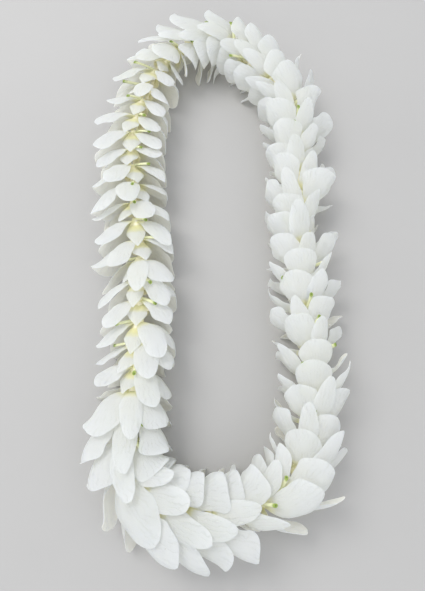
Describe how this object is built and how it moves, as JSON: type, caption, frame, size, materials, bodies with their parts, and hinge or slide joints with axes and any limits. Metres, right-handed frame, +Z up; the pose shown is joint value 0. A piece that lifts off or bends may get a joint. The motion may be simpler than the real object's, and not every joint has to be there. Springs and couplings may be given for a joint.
{
  "type": "flower lei",
  "caption": "Long oval lei of white orchid blooms strung closely through their centres on a knotted thread, all facing the same way round the loop.",
  "frame": {"origin": "centre of the bounding box, on the surface that the lei lies on", "axes": "+Y along the long oval loop, towards its narrower end, +Z up out of the surface, +X to the right across the loop"},
  "size_m": [0.2184, 0.4946, 0.0462],
  "materials": {
    "petal": "smooth, softly waxy",
    "thread": "matte twisted cotton"
  },
  "bodies": {
    "root": {"thread": "thread", "bloom_01": "petal", "bloom_02": "petal", "bloom_03": "petal", "bloom_04": "petal", "bloom_05": "petal", "bloom_06": "petal", "bloom_07": "petal", "bloom_08": "petal", "bloom_09": "petal", "bloom_10": "petal", "bloom_11": "petal", "bloom_12": "petal", "bloom_13": "petal", "bloom_14": "petal", "bloom_15": "petal", "bloom_16": "petal", "bloom_17": "petal", "bloom_18": "petal", "bloom_19": "petal", "bloom_20": "petal", "bloom_21": "petal", "bloom_22": "petal", "bloom_23": "petal", "bloom_24": "petal", "bloom_25": "petal", "bloom_26": "petal", "bloom_27": "petal", "bloom_28": "petal", "bloom_29": "petal", "bloom_30": "petal", "bloom_31": "petal", "bloom_32": "petal", "bloom_33": "petal", "bloom_34": "petal", "bloom_35": "petal", "bloom_36": "petal", "bloom_37": "petal", "bloom_38": "petal", "bloom_39": "petal", "bloom_40": "petal", "bloom_41": "petal", "bloom_42": "petal", "bloom_43": "petal", "bloom_44": "petal", "bloom_45": "petal", "bloom_46": "petal", "bloom_47": "petal", "bloom_48": "petal", "bloom_49": "petal", "bloom_50": "petal", "bloom_51": "petal", "bloom_52": "petal", "bloom_53": "petal", "bloom_54": "petal", "bloom_55": "petal", "bloom_56": "petal"}
  },
  "joints": []
}
